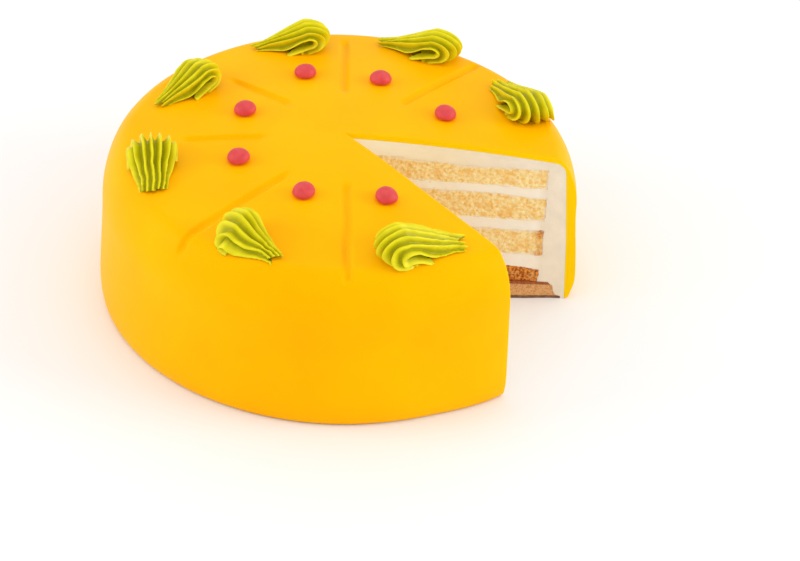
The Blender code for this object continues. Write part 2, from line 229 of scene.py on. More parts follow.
# Toppings: azimuth in degrees and distance from the axis. A shell also has its turn from the rim's
# direction in degrees, shares of its length, width and tail width, how far one side droops, and
# shares of its hooked ends and its ribs' depth
SHELLS = (
    (25.8, 0.1072, 1.9, 1.05, 1.12, 1.15, 0.0, 1.0, 1.0),
    (68.2, 0.1076, 6.0, 1.03, 1.08, 0.55, 0.0, 1.0, 1.0),
    (108.8, 0.1038, -8.8, 0.93, 1.05, 0.60, 0.0, 1.0, 1.0),
    (153.3, 0.0999, -15.3, 0.90, 1.01, 0.75, 0.0, 1.0, 1.0),
    (198.7, 0.1066, -11.3, 0.90, 1.08, 1.10, 0.0, 0.7, 1.35),
    (246.3, 0.1090, -12.3, 0.82, 1.02, 0.80, 0.0060, 0.2, 1.35),
    (294.1, 0.1066, 6.0, 1.07, 1.01, 1.25, 0.0, 1.0, 1.0),
)
DROPS = (
    (24.8, 0.0605), (72.9, 0.0613), (111.2, 0.0668), (160.1, 0.0587),
    (206.6, 0.0620), (252.1, 0.0608), (293.5, 0.0637),
)

# Sugar drop: its reach from its middle sideways, up and down, and the middle's height
DROP_RADIUS = 0.0061
DROP_TOP = 0.0047
DROP_BOTTOM = 0.0028
DROP_LIFT = 0.0020
DROP_ROWS = 28
DROP_COLUMNS = 56

# Piped shell: a ribbed rope laid towards the heel, curled over a pivot and drawn out to a tail
PIVOT = (-0.0090, 0.0070)
ROPE_DEPTH = 0.0087
ROPE_HALF_WIDTH = 0.0125
HEEL_STRETCH = 1.65
TAIL_END = (0.0215, 0.0004)
TAIL_DEPTH = 0.0026
TAIL_HALF_WIDTH = 0.0066
LEG_ROWS = 40
CURL_ROWS = 60
TAIL_ROWS = 66
SPREAD_FROM = radians(165.0)
SPREAD_OVER = radians(75.0)
FOOT_FLARE = 0.10
# Place along the shell from which a droop fades, and over which way
DROOP_FROM = 0.004
DROOP_OVER = 0.018

# Its ribs: crests beside the middle one, ribs from there to the edge, columns of points to a rib,
# how deep the valleys and how broad the crests are, and how much the depths vary
SIDE_RIBS = 3
SIDE_PHASE = SIDE_RIBS + 0.32
RIB_COLUMNS = 18
RIB_DEPTH = 0.0030
TAIL_RIB_DEPTH = 0.0013
CREST_SHARPNESS = 0.75
RIB_VARIATION = (0.88, 1.10)

# Its hooked ends: share of the length and extra slope of each crest's end, the middle one first
LEG_SLOPE = radians(20.0)
LEG_LENGTH = 0.0225
LEG_DEPTH = 0.0064
LEG_HALF_WIDTH = 0.0116
LEG_ENDS = (0.04, 0.08, 0.25, 0.60, 0.66)
LEG_STEEPER = (0.50, 0.45, 0.25, 0.0, 0.0)
LEG_VARIATION = (0.9, 1.12)
LEG_SCALLOP = 0.10
SHORTEST_LEG = 0.03
LEG_END_ROUNDING = 0.0011

# Its tail: how much the crests' ends vary, how much longer the crests and how much shorter the
# sides and the underside are, and how far the end is hollowed
FRAY = (-0.0024, 0.0030)
CREST_LONGER = 0.0018
SIDE_SHORTER = 0.0030
UNDERSIDE_SHORTER = 0.0015
TAIL_HOLLOW = 0.0022
# Share of the way round from which its sides are drawn down to the cover, and over which stages
SKIRT_FROM = 0.72
SKIRT_STAGES = (0.10, 0.45)

# Its inside: columns of points, the hollow round the pivot, and the bulge and ribs underneath
INNER_COLUMNS = 29
INNER_RADIUS = 0.0015
INNER_BULGE = 0.0034
INNER_RIB = 0.0012

# Factors that scatter the noise's values over its lattice
LATTICE_FACTORS = (73856093, 19349663, 83492791)
SEED_FACTOR = 2654435761
MIX_FACTOR = 1274126177
LATTICE_ORIGIN = 1000.0


def rise(value, start=0.0, over=1.0):
    """Rises from 0 at start to 1 with level ends, for numbers or arrays."""
    share = np.clip((value - start) / over, 0.0, 1.0)
    return share * share * (3.0 - 2.0 * share)


def axis_distance(points):
    """Distance of each point from the axis."""
    return np.hypot(points[:, 0], points[:, 1])


def lattice_noise(points, size, seed):
    """Smooth noise between -1 and 1 at points (x, y, z), with lumps of this size."""
    scaled = np.asarray(points, float) / size + LATTICE_ORIGIN
    cell = np.floor(scaled).astype(np.int64)
    share = rise(scaled - cell)
    total = np.zeros(len(scaled))
    for z, y, x in np.ndindex(2, 2, 2):
        step = np.array([x, y, z])
        code = np.bitwise_xor.reduce((cell + step) * LATTICE_FACTORS, axis=1) ^ seed * SEED_FACTOR
        code = (code ^ (code >> 13)) * MIX_FACTOR & 0xFFFFFFFF
        value = ((code ^ (code >> 16)) & 0xFFFF) / (0.5 * 0xFFFF) - 1.0
        total += np.prod(np.where(step == 1, share, 1.0 - share), axis=1) * value
    return total


def layered_noise(points, size, seed, layers):
    """Noise whose lumps halve in size and height with each layer."""
    total = np.zeros(len(points))
    for layer in range(layers):
        total += lattice_noise(points, size / 2**layer, seed + layer) / 2**layer
    return total


def quarter(centre, reach, fall, start, count):
    """Points of a quarter ellipse that turns clockwise from start, without its first point."""
    angles = [start - 0.5 * pi * (i + 1) / count for i in range(count)]
    return [(centre[0] + reach * cos(a), centre[1] + fall * sin(a)) for a in angles]


def dome_height(radius, drop_below=0.0):
    """Height of the domed top, or of a surface that runs below it."""
    return HEIGHT - drop_below - DOME_DROP * (radius / RADIUS) ** DOME_POWER


def dome(end, count, drop_below=0.0, grow=0.0):
    """Points of that surface from the axis out, moved up by grow."""
    radii = [end * i / count for i in range(count + 1)]
    return [(radius, dome_height(radius, drop_below) + grow) for radius in radii]


def surface_height(x, y):
    """Height of the cover's outer surface before it settles."""
    radius = np.minimum(np.hypot(x, y), SIDE_RADIUS)
    share = np.clip((radius - SIDE_RADIUS + EDGE_REACH) / EDGE_REACH, 0.0, 1.0)
    return dome_height(radius) - EDGE_FALL * (1.0 - np.sqrt(1.0 - share * share))


def settled(points):
    """Sags and spreads the food beside the last cut, moves its middle to the apex and tilts its top."""
    moved = np.array(points, float)
    radius = axis_distance(moved)
    azimuth = np.arctan2(moved[:, 1], moved[:, 0])
    from_cut = (LAST_CUT + SAG_BEYOND - azimuth) % (2.0 * pi) - SAG_BEYOND
    near = rise(1.0 - from_cut / SAG_ANGLE)
    moved[:, 2] -= SAG * near * rise(radius / SAG_REACH) * moved[:, 2] / HEIGHT
    moved[:, :2] *= (1.0 + SPREAD * near * rise(radius / RADIUS) / np.maximum(radius, GAP))[:, None]
    moved[:, :2] += (1.0 - axis_distance(moved) / RADIUS)[:, None] * np.array(APEX)
    moved[:, 2] *= 1.0 + LEAN * moved[:, 0] / RADIUS
    return moved


def polyline(points, step):
    """The same line with a point about every step, its own points kept."""
    line = [points[0]]
    for (r0, z0), (r1, z1) in zip(points, points[1:]):
        count = max(1, round(hypot(r1 - r0, z1 - z0) / step))
        line += [(r0 + (r1 - r0) * i / count, z0 + (z1 - z0) * i / count) for i in range(1, count + 1)]
    return line


def cover_outside():
    """Outer surface of the cover as (r, z) from the axis to the foot."""
    dome_points, edge_points, side_points, foot_points = COVER_POINTS
    turns = np.linspace(0.0, 0.5 * pi, edge_points + 1)[1:]
    edge = [(r, float(surface_height(r, 0.0))) for r in EDGE_START + EDGE_REACH * np.sin(turns)]
    side_top = edge[-1][1]
    side = []
    for height in np.linspace(side_top, BELLY_HEIGHT, side_points + 1)[1:]:
        share = float(rise((side_top - height) / (side_top - BELLY_HEIGHT)))
        side.append((SIDE_RADIUS + (BELLY_RADIUS - SIDE_RADIUS) * share, height))
    reach, fall = BELLY_RADIUS - FOOT_RADIUS, BELLY_HEIGHT - COVER_CLEARANCE
    foot = quarter((FOOT_RADIUS, BELLY_HEIGHT), reach, fall, 0.0, foot_points)
    return dome(EDGE_START, dome_points) + edge + side + foot


def cream_outside(grow):
    """Outer surface of the cream as (r, z) from the axis to its waist, moved out by grow."""
    dome_points, edge_points = CREAM_POINTS
    shoulder = CREAM_SHOULDER - CREAM_EDGE_RADIUS
    top = dome(shoulder, dome_points, COVER_THICKNESS + GAP, grow)
    centre = (shoulder, top[-1][1] - grow - CREAM_EDGE_RADIUS)
    radius = CREAM_EDGE_RADIUS + grow
    edge = quarter(centre, radius, radius, 0.5 * pi, edge_points)
    return top + edge + [(CREAM_WAIST_RADIUS + grow, CREAM_WAIST_HEIGHT)]


def biscuit_side(floor, top):
    """The biscuit's rounded shoulder and hollow flank as (r, z), downwards."""
    shoulder_points, flank_points = BISCUIT_POINTS
    centre = (BISCUIT_TOP_RADIUS - BISCUIT_CORNER, top - BISCUIT_CORNER)
    rounded = quarter(centre, BISCUIT_CORNER, BISCUIT_CORNER, 0.5 * pi, shoulder_points)
    reach, fall = BISCUIT_TOP_RADIUS - BISCUIT_FOOT_RADIUS, centre[1] - floor
    flank = quarter((BISCUIT_FOOT_RADIUS, centre[1]), reach, fall, 0.0, flank_points)
    return [(centre[0], top)] + rounded + flank


def layer_levels():
    """Floor and top height of every layer by node name."""
    levels = {}
    floor = 0.0
    for name, (thickness, above) in LAYERS.items():
        levels[name] = (floor, floor + thickness)
        floor += thickness + above
    return levels


def mesh_object(name, points, faces, material, attributes):
    """Smooth mesh piece with its material, slot and attributes."""
    mesh = bpy.data.meshes.new(name)
    mesh.from_pydata([tuple(p) for p in points], [], faces)
    mesh.validate()
    for label, values in attributes.items():
        layer = mesh.attributes.new(label, "FLOAT", "POINT")
        layer.data.foreach_set("value", np.asarray(values, np.float32))
    mesh.materials.append(material)
    mesh.shade_smooth()
    piece = bpy.data.objects.new(name, mesh)
    bpy.context.scene.collection.objects.link(piece)
    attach(piece, "root")
    return piece


def merge_axis(piece):
    """Joins the points that lie together on the axis and marks sharp edges."""
    data = bmesh.new()
    data.from_mesh(piece.data)
    bmesh.ops.remove_doubles(data, verts=data.verts, dist=0.000002)
    bmesh.ops.recalc_face_normals(data, faces=data.faces)
    data.to_mesh(piece.data)
    data.free()
    piece.data.set_sharp_from_angle(angle=radians(50.0))


def net_faces(rows, columns):
    """Faces of a net of points with closed rows."""
    faces = []
    for a in range((rows - 1) * columns):
        b = a + 1 if (a + 1) % columns else a + 1 - columns
        faces.append((a, a + columns, b + columns, b))
    return faces


def grid_inside(outline, step, clearance):
    """Points of a triangular grid inside a closed outline, clear of its edges."""
    low, high = outline.min(axis=0), outline.max(axis=0)
    row_step = step * sqrt(0.75)
    rows = []
    for number, height in enumerate(np.arange(low[1] + 0.5 * row_step, high[1], row_step)):
        row = np.arange(low[0] + (0.25 + 0.5 * (number % 2)) * step, high[0], step)
        rows.append(np.column_stack([row, np.full(len(row), height)]))
    spots = np.concatenate(rows)
    inside = np.zeros(len(spots), bool)
    near = np.full(len(spots), np.inf)
    for start, end in zip(outline, np.roll(outline, -1, axis=0)):
        side = end - start
        if side[1] != 0.0:
            crosses = (start[1] > spots[:, 1]) != (end[1] > spots[:, 1])
            at = start[0] + (spots[:, 1] - start[1]) / side[1] * side[0]
            inside ^= crosses & (spots[:, 0] < at)
        share = np.clip(((spots - start) @ side) / max(side @ side, 1e-12), 0.0, 1.0)
        near = np.minimum(near, np.linalg.norm(spots - start - share[:, None] * side, axis=1))
    return spots[inside & (near > clearance)]


def cut_face(section, step):
    """Points inside a closed section, and triangles over it."""
    count = len(section)
    inner = grid_inside(section, step, 0.55 * step)
    places = [Vector((float(r), float(z))) for r, z in np.concatenate([section, inner])]
    edges = [(i, (i + 1) % count) for i in range(count)]
    _, _, triangles, origins, _, _ = delaunay_2d_cdt(places, edges, [], 1, 1e-9)
    index = [source[0] for source in origins]
    return inner, [tuple(index[i] for i in triangle) for triangle in triangles]


def swept(flat, azimuth):
    """Points of a section (r, z) stood up on one azimuth."""
    radius, height = flat.T
    return np.column_stack([radius * cos(azimuth), radius * sin(azimuth), height])


def turned_piece(name, loop, azimuths, cut_step, material, relief=None, wobble=None, rules=None):
    """Solid swept round the axis between the cuts, with finely divided cut faces.

    relief(points, side) is how far the points of cut face 0 or 1 stand out into the gap, and
    wobble(points, azimuth) how far a section's points are moved, as (r, z). Each rule
    gives an attribute of the unmoved points. The attribute cut is 1 on the cut faces.
    """
    section = np.array(loop)
    count = len(section)
    inner, triangles = cut_face(section, cut_step)
    flat = np.concatenate([section, inner])

    def stood(points, azimuth):
        return swept(points if wobble is None else points + wobble(points, azimuth), azimuth)

    rings = [stood(section, azimuth) for azimuth in azimuths]
    plain = [swept(section, azimuth) for azimuth in azimuths]
    after = np.roll(section, -1, axis=0)
    anticlockwise = np.sum(section[:, 0] * after[:, 1] - after[:, 0] * section[:, 1]) > 0.0
    faces = []
    for a, _, _, b in net_faces(len(azimuths), count):
        face = (a, b, b + count, a + count)
        faces.append(face[::-1] if anticlockwise else face)
    on_cut = []
    for side, ring in enumerate((0, len(azimuths) - 1)):
        azimuth = azimuths[ring]
        cut = stood(flat, azimuth)
        if relief is not None:
            outwards = (2 * side - 1) * np.array([-sin(azimuth), cos(azimuth), 0.0])
            cut = cut + relief(flat, side)[:, None] * outwards
        rings[ring] = cut[:count]
        rings.append(cut[count:])
        plain.append(swept(inner, azimuth))
        first_inner = len(azimuths) * count + side * len(inner)
        numbers = [*range(ring * count, (ring + 1) * count), *range(first_inner, first_inner + len(inner))]
        on_cut += numbers
        for triangle in triangles:
            faces.append(tuple(numbers[i] for i in (triangle[::-1] if side else triangle)))
    points = settled(np.concatenate(rings))
    values = {label: rule(np.concatenate(plain)) for label, rule in (rules or {}).items()}
    values["cut"] = np.zeros(len(points))
    values["cut"][on_cut] = 1.0
    piece = mesh_object(name, points, faces, material, values)
    merge_axis(piece)
    return piece


def linear(*parts):
    """Linear colour of an sRGB colour given in parts of 255."""
    values = [part / 255.0 for part in parts]
    return (*(v / 12.92 if v <= 0.04045 else ((v + 0.055) / 1.055) ** 2.4 for v in values), 1.0)


def grey(value):
    """Linear grey."""
    return (value, value, value, 1.0)


class Finish:
    """Material in the making, with its colour so far."""

    def __init__(self, name, roughness, specular, tint=(1.0, 1.0, 1.0)):
        self.material = bpy.data.materials.new(name)
        self.material.use_nodes = True
        self.tree = self.material.node_tree
        self.shader = self.tree.nodes["Principled BSDF"]
        self.colour = None
        gloss = {"Roughness": roughness, "Specular IOR Level": specular, "Specular Tint": (*tint, 1.0)}
        self.fill(self.shader, gloss)

    def put(self, socket, value):
        """Links a socket to another one, or gives it a fixed value."""
        if isinstance(value, bpy.types.NodeSocket):
            self.tree.links.new(value, socket)
        else:
            socket.default_value = value

    def fill(self, node, values):
        """Sets some of a node's inputs by name."""
        for label, value in values.items():
            self.put(node.inputs[label], value)

    def attribute(self, label):
        """Socket with a mesh attribute's value."""
        node = self.tree.nodes.new("ShaderNodeAttribute")
        node.attribute_name = label
        return node.outputs["Fac"]

    def noise(self, scale, detail=3.0, roughness=0.5):
        """Socket with noise in the piece's own metres."""
        place = self.tree.nodes.new("ShaderNodeTexCoord").outputs["Object"]
        node = self.tree.nodes.new("ShaderNodeTexNoise")
        self.fill(node, {"Vector": place, "Scale": scale, "Detail": detail, "Roughness": roughness})
        return node.outputs["Fac"]

    def ramp(self, factor, *stops):
        """Socket with a colour ramp over a factor; stops are (position, colour)."""
        node = self.tree.nodes.new("ShaderNodeValToRGB")
        elements = node.color_ramp.elements
        while len(elements) < len(stops):
            elements.new(0.5)
        for element, (position, colour) in zip(elements, stops):
            element.position = position
            element.color = colour
        self.fill(node, {"Fac": factor})
        return node.outputs["Color"]

    def shade(self, noise, *stops):
        """Starts the colour as a ramp over a noise, which it returns."""
        self.colour = self.ramp(noise, *stops)
        return noise

    def mix(self, factor, second, blend="MIX"):
        """Mixes a second colour into the colour so far."""
        node = self.tree.nodes.new("ShaderNodeMix")
        node.data_type = "RGBA"
        node.blend_type = blend
        sockets = [socket for socket in node.inputs if socket.enabled]
        for socket, value in zip(sockets, (factor, self.colour, second)):
            self.put(socket, value)
        self.colour = [socket for socket in node.outputs if socket.enabled][0]

    def bump(self, height, strength, distance):
        """Adds a bump from a height socket."""
        node = self.tree.nodes.new("ShaderNodeBump")
        self.fill(node, {"Strength": strength, "Distance": distance, "Height": height})
        normal = self.shader.inputs["Normal"]
        if normal.is_linked:
            self.fill(node, {"Normal": normal.links[0].from_socket})
        self.put(normal, node.outputs["Normal"])

    def scatter(self, weight, radius, scale):
        """Light that enters the food and comes out nearby."""
        depth = {"Subsurface Weight": weight, "Subsurface Radius": radius, "Subsurface Scale": scale}
        self.fill(self.shader, depth)

    def done(self):
        """The material with its colour."""
        self.fill(self.shader, {"Base Color": self.colour})
        return self.material


def cover_material():
    """Smooth yellow icing with a soft sheen and faint cloudy shades; its cut faces are painted brighter,
    painted light for the shade inside the cut.
    """
    icing = Finish("cover_yellow", 0.42, 0.05, (1.0, 0.80, 0.30))
    icing.shade(icing.noise(22.0), (0.30, linear(255, 178, 0)), (0.70, linear(255, 186, 0)))
    # Painted light: the cut faces are painted a brighter yellow to make up for the shade inside the narrow
    # cut
    icing.mix(icing.attribute("cut"), linear(255, 206, 6))
    icing.bump(icing.noise(260.0), 0.12, 0.0004)
    icing.scatter(0.12, (1.0, 0.6, 0.1), 0.002)
    return icing.done()


def cream_material():
    """Pale cream with faint clouds, paler between the sponges, and painted warmer and brighter towards the
    middle: painted light for the narrow cut near the apex.
    """
    cream = Finish("cream_white", 0.50, 0.35)
    cream.shade(cream.noise(140.0, 4.0), (0.32, linear(234, 221, 200)), (0.68, linear(242, 229, 209)))
    # Painted light: towards the axis the cream is painted warmer, then brighter, for the light that the
    # narrow cut lacks near the apex
    middle = cream.attribute("middle")
    cream.mix(middle, cream.ramp(middle, (0.50, linear(250, 233, 188)), (1.0, linear(254, 245, 226))))
    cream.mix(cream.attribute("between"), linear(255, 246, 232))
    cream.bump(cream.noise(900.0, 4.0), 0.25, 0.0004)
    cream.scatter(0.25, (1.0, 0.7, 0.45), 0.003)
    return cream.done()


def crumb_finish(name, pale, middle, dark, scale):
    """Porous crumb with darker pores: painted shade, the colour darkening where its bump sinks."""
    crumb = Finish(name, 0.85, 0.2)
    # Painted shade: the crumb is coloured darker where the bump sinks, in its pores and hollows
    grain = crumb.shade(crumb.noise(scale, 3.0, 0.6), (0.37, dark), (0.47, middle), (0.58, pale))
    fine = crumb.noise(2.4 * scale, 2.0)
    crumb.mix(0.30, crumb.ramp(fine, (0.36, dark), (0.47, pale)))
    crumb.bump(grain, 0.6, 0.0006)
    crumb.bump(fine, 0.4, 0.0002)
    return crumb


def biscuit_material():
    """Brown, crumbly biscuit."""
    shades = (linear(222, 169, 110), linear(208, 149, 92), linear(182, 120, 67))
    return crumb_finish("biscuit_brown", *shades, 900.0).done()


def sponge_material():
    """Yellow sponge in patches, smeared with cream at its edges and brown towards its ends."""
    scale = 560.0
    dark = linear(238, 180, 80)
    crumb = crumb_finish("sponge_crumb", linear(248, 228, 172), linear(245, 212, 136), dark, scale)
    crumb.mix(crumb.ramp(crumb.noise(0.28 * scale, 2.0), (0.50, grey(0.0)), (0.68, grey(0.55))), dark)
    total = crumb.tree.nodes.new("ShaderNodeMath")
    total.operation = "ADD"
    crumb.fill(total, {0: crumb.attribute("smeared"), 1: crumb.noise(0.8 * scale)})
    smear = crumb.ramp(total.outputs["Value"], (0.88, grey(0.0)), (1.0, grey(1.0)))
    crumb.mix(smear, linear(242, 224, 190))
    spots = crumb.noise(1.3 * scale, 2.0)
    brown = crumb.ramp(spots, (0.38, linear(146, 66, 12)), (0.60, linear(232, 148, 58)))
    crumb.mix(crumb.attribute("browning"), brown)
    return crumb.done()


def film_material(name, low, high, roughness, scale, bump):
    """Thin layer with two close shades and a fine bump."""
    film = Finish(name, roughness, 0.35)
    clouds = film.shade(film.noise(scale, 4.0), (0.35, low), (0.65, high))
    film.bump(clouds, bump, 0.0003)
    return film.done()


def shell_material():
    """Lime green piped cream with a slight gloss, with painted shade making it darker between its ribs."""
    green = Finish("shell_green", 0.36, 0.40, (1.0, 0.95, 0.35))
    green.shade(green.noise(160.0), (0.30, linear(219, 208, 10)), (0.70, linear(236, 224, 30)))
    # Painted shade: the valleys between the ribs and the underside are darkened
    painted_valley_shade = green.attribute("painted_valley_shade")
    green.mix(1.0, green.ramp(painted_valley_shade, (0.25, grey(1.0)), (1.0, (0.47, 0.49, 0.25, 1.0))), "MULTIPLY")
    green.bump(green.noise(1300.0, 2.0), 0.15, 0.0002)
    green.scatter(0.05, (0.9, 1.0, 0.2), 0.0008)
    return green.done()


def drop_material():
    """Coral pink sugar with a soft gloss."""
    pink = Finish("drop_pink", 0.45, 0.25)
    pink.shade(pink.noise(300.0), (0.30, linear(209, 62, 68)), (0.70, linear(219, 79, 79)))
    pink.bump(pink.noise(1500.0, 2.0), 0.12, 0.0002)
    pink.scatter(0.15, (1.0, 0.35, 0.3), 0.0015)
    return pink.done()


def polar(azimuth, distance):
    """Point (x, y) at an azimuth in degrees and a distance from the axis."""
    angle = radians(azimuth)
    return distance * np.array([cos(angle), sin(angle)])


def groove_depth(x, y):
    """Depth of the impressed lines at points of the surface rolled out flat."""
    depth = np.zeros(len(x))
    for azimuth_in, inner, azimuth_out, outer in GROOVES:
        start = polar(azimuth_in, inner)
        run = polar(azimuth_out, outer) - start
        length = np.linalg.norm(run)
        along = ((x - start[0]) * run[0] + (y - start[1]) * run[1]) / length
        across = np.abs((x - start[0]) * run[1] - (y - start[1]) * run[0]) / length
        ends = rise((along + GROOVE_PAST_END) / GROOVE_INNER_RUN)
        ends *= rise((length + GROOVE_PAST_END - along) / GROOVE_OUTER_RUN)
        valley = 1.0 - rise(across / GROOVE_HALF_WIDTH, GROOVE_LEVEL, GROOVE_RISE)
        depth = np.maximum(depth, ends * GROOVE_DEPTH * valley)
    return depth


def cover_azimuths():
    """Azimuths of the cover's rings, closer together at the impressed lines and the cuts."""
    reach, apart = LINE_RINGS
    angles = set(np.linspace(FIRST_CUT, LAST_CUT, COVER_RINGS))
    for azimuth_in, _, azimuth_out, _ in GROOVES:
        low, high = sorted((azimuth_in, azimuth_out))
        angles |= set(np.radians(np.arange(low - reach, high + reach, apart)))
    for cut, way in ((FIRST_CUT, 1.0), (LAST_CUT, -1.0)):
        angles |= {cut + way * radians(step) for step in CUT_RINGS}
    angles = sorted(angles)
    kept = [angles[0]]
    for angle in angles[1:-1]:
        if min(angle - kept[-1], angles[-1] - angle) > radians(LEAST_STEP):
            kept.append(angle)
    return np.array(kept + [angles[-1]])


def make_cover(material):
    """Yellow cover with its impressed lines, soft waves and rounded cut edges."""
    outside = cover_outside()
    inside = [(CREAM_FOOT_RADIUS + GAP, COVER_CLEARANCE)] + cream_outside(GAP)[::-1]
    profile = np.array(outside)
    run = np.gradient(profile, axis=0)
    normal = np.column_stack([-run[:, 1], run[:, 0]]) / np.linalg.norm(run, axis=1)[:, None]
    way = np.concatenate([[0.0], np.cumsum(np.linalg.norm(np.diff(profile, axis=0), axis=1))])
    radius, height = profile.T
    on_side = rise(radius, EDGE_START, EDGE_REACH)
    off_axis = rise(radius / AXIS_REACH)
    grow_from, grow_over, fade_from, fade_over = FOOT_BULGE_HEIGHTS
    low = rise(grow_from, height, grow_over) * rise(height, fade_from, fade_over)

    def wobble(flat, azimuth):
        spots = swept(profile, azimuth)
        wave = WAVE * layered_noise(spots, WAVE_SIZE, 3, 2)
        wave += FINE_WAVE * lattice_noise(spots, FINE_WAVE_SIZE, 9)
        from_cut = min(azimuth - FIRST_CUT, LAST_CUT - azimuth) * radius
        round_off = CUT_ROUNDING * (1.0 - rise(from_cut / CUT_ROUNDING_REACH))
        beside = 1.0 - rise(azimuth, FIRST_CUT, FOOT_BULGE_ANGLE)
        shift = -groove_depth(way * cos(azimuth), way * sin(azimuth))[:, None] * normal
        shift[:, 1] -= np.where(height > SIDE_FROM, (WAVE_SINK - wave) * (1.0 - on_side) * off_axis, 0.0)
        shift[:, 1] -= np.where(height > TOP_FROM, round_off * off_axis, 0.0)
        shift[:, 0] += (wave - WAVE_SINK) * on_side
        shift[:, 0] += FOOT_BULGE * beside * low
        shift[:, 0] -= np.where(height > FOOT_FROM, round_off * on_side, 0.0)
        return np.concatenate([shift, np.zeros((len(flat) - len(shift), 2))])

    loop = outside + inside
    azimuths = cover_azimuths()
    return turned_piece("icing_cover", loop, azimuths, COVER_CUT_STEP, material, wobble=wobble)


def uneven(flat, azimuth, size, height, seed):
    """Unevenness of a layer's edge at section points on one azimuth."""
    return height * layered_noise(swept(flat, azimuth) * (1.0, 1.0, 3.0), size, seed, 3)


def cut_spots(flat, side, shift):
    """Places for noise over a cut face, others for each side and shift."""
    return np.column_stack([flat, np.full(len(flat), shift + side)])


def comb_loop(levels):
    """Section of the cream: a domed cap, an outer wall and a tooth between sponges."""
    loop = cream_outside(GAP) + [(CREAM_FOOT_RADIUS + GAP, 0.0), (COAT_RADIUS, 0.0)]
    loop += [(COAT_RADIUS, levels["chocolate_coat"][1])] + biscuit_side(*levels["biscuit_base"])[::-1]
    film_top = levels["jam_layer"][1] + GAP
    loop += [(JAM_RADIUS, levels["biscuit_base"][1]), (JAM_RADIUS - JAM_END, film_top)]
    wall = SPONGE_RADIUS
    for name in SPONGES:
        floor, top = levels[name]
        if name == "sponge_4":
            loop += [(wall - SPONGE_4_FOOT_IN, film_top), (wall - SPONGE_4_TOP_IN, top - SPONGE_4_FALL)]
            loop += [(wall - SPONGE_4_FALL_REACH, top), (0.0, top)]
        else:
            floor -= CRUMB_BORDER
            top += CRUMB_BORDER
            loop += [(0.0, floor), (wall, floor), (wall, top), (0.0, top)]
    return loop


def layer_rise(flat, levels):
    """How far section points rise with the sponges' edges, evenly from one edge to the next."""
    radius, height = flat.T
    steps = [*levels["sponge_2"], *levels["sponge_1"], dome_height(radius, COVER_THICKNESS)]
    total = np.zeros(len(flat))
    for number, (lift, start, spread) in enumerate(LAYER_RISES, start=1):
        below, at, above = steps[number - 1:number + 2]
        share = np.minimum((height - below) / (at - below), (above - height) / (above - at))
        total += np.clip(share, 0.0, 1.0) * lift * (1.0 - rise(radius, start, spread))
    return total


def make_cream(levels, material):
    """Cream between and round the sponges, uneven where it meets them."""
    loop = polyline(comb_loop(levels), FILLING_STEP)
    top = levels["sponge_1"][1]
    end_floor = levels["sponge_4"][0] + GAP
    level_floor = levels["sponge_4"][1] - SPONGE_4_FALL - GAP

    def wobble(flat, azimuth):
        moved = np.zeros_like(flat)
        r, z = flat.T
        on_level = (r < SPONGE_RADIUS + 0.0008) & (z > level_floor) & (z < top + 2.0 * CRUMB_BORDER)
        moved[:, 1] += np.where(on_level, uneven(flat, azimuth, *LEVEL_UNEVEN, 31), 0.0)
        at_end = (np.abs(r - SPONGE_RADIUS) < 0.0020) & (z > end_floor) & (z < top)
        moved[:, 0] += np.where(at_end, uneven(flat, azimuth, *END_UNEVEN, 47), 0.0)
        moved[:, 1] += layer_rise(flat, levels)
        return moved

    def relief(flat, side):
        spots = cut_spots(flat, side, 0.3)
        drag = lattice_noise(spots * (0.35, 1.0, 1.0), 0.0032, 12) * 0.00007
        return 0.00009 * layered_noise(spots, 0.006, 5, 3) + drag

    # Painted light: how much the cream is painted warmer and brighter towards the apex
    def painted_light_towards_middle(points):
        return 1.0 - rise(axis_distance(points) / 0.105)

    def between_sponges(points):
        inside = rise(SPONGE_RADIUS, axis_distance(points), 0.006)
        return 0.6 * inside * (points[:, 2] < levels["sponge_1"][0] + GAP)

    azimuths = np.linspace(FIRST_CUT, LAST_CUT, FILLING_RINGS)
    rules = {"middle": painted_light_towards_middle, "between": between_sponges}
    return turned_piece("cream_body", loop, azimuths, CREAM_CUT_STEP, material,
                        relief, wobble, rules)


def pore_relief(length, height, floor, seed):
    """Relief of a sponge's cut faces: crumbs and pores."""
    rng = np.random.default_rng(seed)
    places = []
    for _ in range(2):
        along = rng.uniform(0.0, length, PORES)
        places.append(np.column_stack([along, rng.uniform(floor, floor + height, PORES)]))
    sizes = [rng.uniform(0.35, 1.0, PORES) ** 1.6 * LARGEST_PORE for _ in range(2)]

    def relief(flat, side):
        height = -0.00022 + 0.00022 * layered_noise(cut_spots(flat, side, 0.7), 0.0022, seed, 3)
        pit = np.zeros(len(flat))
        for place, size in zip(places[side], sizes[side]):
            near = np.hypot(flat[:, 0] - place[0], (flat[:, 1] - place[1]) * 1.25) / size
            pit = np.maximum(pit, (1.0 - rise(near)) * size * PORE_DEPTH)
        return height - pit

    return relief


def browning_rule(name, floor, top):
    """How brown a sponge is: sponge_4 over its outer part, sponge_3 most at its end's corners."""
    def browning(points):
        end = rise(axis_distance(points), *BROWNING[name])
        patch = layered_noise(points, 0.0030, 77, 2)
        if name == "sponge_4":
            return np.clip(end + 0.25 * patch * (end > 0.0), 0.0, 1.0)
        if name == "sponge_3":
            height = (points[:, 2] - floor) / (top - floor)
            corners = rise(np.abs(height - 0.45), 0.2, 0.25)
            return np.clip(end * (0.10 + 0.4 * patch + 0.9 * corners), 0.0, 0.9)
        return np.clip(end * (0.2 + 0.4 * patch), 0.0, 1.0)

    return browning


def smear_rule(name, floor, top, seed):
    """How much cream is smeared over a sponge, most at its edges."""
    def smeared(points):
        to_edge = np.minimum(top - points[:, 2], SPONGE_RADIUS - axis_distance(points))
        if name != "sponge_4":
            to_edge = np.minimum(points[:, 2] - floor, to_edge)
        return np.clip(0.56 - to_edge / 0.0036 + 0.26 * layered_noise(points, 0.0070, seed, 2), 0.0, 0.7)

    return smeared


